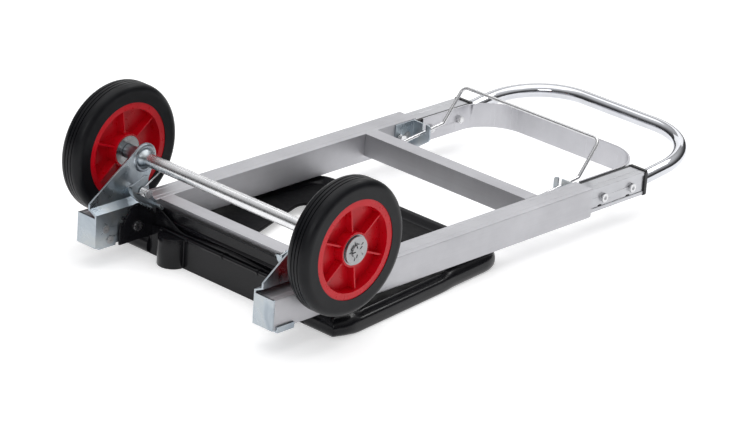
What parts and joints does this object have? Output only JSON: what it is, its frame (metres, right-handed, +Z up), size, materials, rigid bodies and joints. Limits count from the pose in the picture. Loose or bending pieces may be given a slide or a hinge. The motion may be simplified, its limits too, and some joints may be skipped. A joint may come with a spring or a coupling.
{
  "type": "folding hand truck",
  "caption": "Folding hand truck lying folded on its toe plate, with wheels, sliding handle, hinged toe plate, latches and wire release bail.",
  "frame": {"origin": "on the ground under the middle of the folded truck, which lies on its stowed toe plate", "axes": "+X across the truck towards the right wheel, +Y along the rails from the foot end to the handle, +Z up"},
  "size_m": [0.382, 0.7372, 0.184],
  "materials": {
    "rail_aluminium": "satin",
    "inner_aluminium": "satin",
    "brace_aluminium": "brushed",
    "zinc": "satin",
    "bright_steel": "polished",
    "rivet": "satin",
    "tyre": "matte",
    "red_plastic": "gloss",
    "black_paint": "satin",
    "black_plastic": "matte",
    "chrome": "polished"
  },
  "bodies": {
    "frame": {"rail_outer_left": "rail_aluminium", "rail_outer_right": "rail_aluminium", "crossbar_lower": "rail_aluminium", "crossbar_upper": "rail_aluminium", "axle_bracket_left": "zinc", "axle_bracket_right": "zinc", "bracket_rivets": "rivet", "axle_rod": "bright_steel", "axle_tube": "zinc", "axle_sleeve_left": "zinc", "axle_sleeve_right": "zinc", "star_cap_left": "bright_steel", "star_cap_right": "bright_steel", "toe_pivot_rivets": "bright_steel", "latch_pin_left": "bright_steel", "latch_pin_right": "bright_steel", "latch_spring_left": "bright_steel", "latch_spring_right": "bright_steel", "guide_bush_left": "black_plastic", "guide_bush_right": "black_plastic", "lock_bracket_left": "zinc", "lock_bracket_right": "zinc", "lock_rivets": "rivet"},
    "wheel_left": {"tyre_left": "tyre", "wheel_hub_left": "red_plastic", "wheel_bush_left": "bright_steel"},
    "wheel_right": {"tyre_right": "tyre", "wheel_hub_right": "red_plastic", "wheel_bush_right": "bright_steel"},
    "toe": {"toe_plate": "black_paint", "toe_upstand": "black_paint", "toe_channel": "black_paint", "toe_ear_left": "black_paint", "toe_ear_right": "black_paint"},
    "latch_left": {"latch_lever_left": "zinc"},
    "latch_right": {"latch_lever_right": "zinc"},
    "handle": {"rail_inner_left": "inner_aluminium", "rail_inner_right": "inner_aluminium", "rail_foot_left": "black_plastic", "rail_foot_right": "black_plastic", "end_cap_left": "black_plastic", "end_cap_right": "black_plastic", "brace": "brace_aluminium", "handle_tube": "chrome", "handle_bolts": "bright_steel", "handle_nuts": "bright_steel"},
    "bail": {"bail_wire": "bright_steel"},
    "pin_left": {"lock_pin_left": "bright_steel"},
    "pin_right": {"lock_pin_right": "bright_steel"}
  },
  "joints": [
    {"name": "wheel_left_spin", "type": "hinge", "parent": "frame", "child": "wheel_left", "pos_m": [0, -0.29058, 0.109], "axis": [1, 0, 0], "continuous": true},
    {"name": "wheel_right_spin", "type": "hinge", "parent": "frame", "child": "wheel_right", "pos_m": [0, -0.29058, 0.109], "axis": [1, 0, 0], "continuous": true},
    {"name": "toe_fold", "type": "hinge", "parent": "frame", "child": "toe", "pos_m": [0, -0.30938, 0.0389], "axis": [-1, 0, 0], "range_deg": [0, 90]},
    {"name": "latch_left_lift", "type": "hinge", "parent": "frame", "child": "latch_left", "pos_m": [0, -0.30808, 0.08], "axis": [1, 0, 0], "range_deg": [0, 14], "stiffness_Nm_per_rad": 0.15, "springref_deg": -28.65},
    {"name": "latch_right_lift", "type": "hinge", "parent": "frame", "child": "latch_right", "pos_m": [0, -0.30808, 0.08], "axis": [1, 0, 0], "range_deg": [0, 14], "stiffness_Nm_per_rad": 0.15, "springref_deg": -28.65},
    {"name": "handle_slide", "type": "slide", "parent": "frame", "child": "handle", "axis": [0, 1, 0], "range_m": [0, 0.29]},
    {"name": "bail_lift", "type": "hinge", "parent": "frame", "child": "bail", "pos_m": [0, 0.07017, 0.042], "axis": [1, 0, 0], "range_deg": [0, 8], "stiffness_Nm_per_rad": 0.8, "springref_deg": -17.19},
    {"name": "pin_left_draw", "type": "slide", "parent": "frame", "child": "pin_left", "axis": [1, 0, 0], "range_m": [0, 0.0025]},
    {"name": "pin_right_draw", "type": "slide", "parent": "frame", "child": "pin_right", "axis": [-1, 0, 0], "range_m": [0, 0.0025]}
  ],
  "couplings": [
    {"joint": "pin_left_draw", "follows": "bail_lift", "m_per_rad": 0.01719},
    {"joint": "pin_right_draw", "follows": "bail_lift", "m_per_rad": 0.01719}
  ]
}
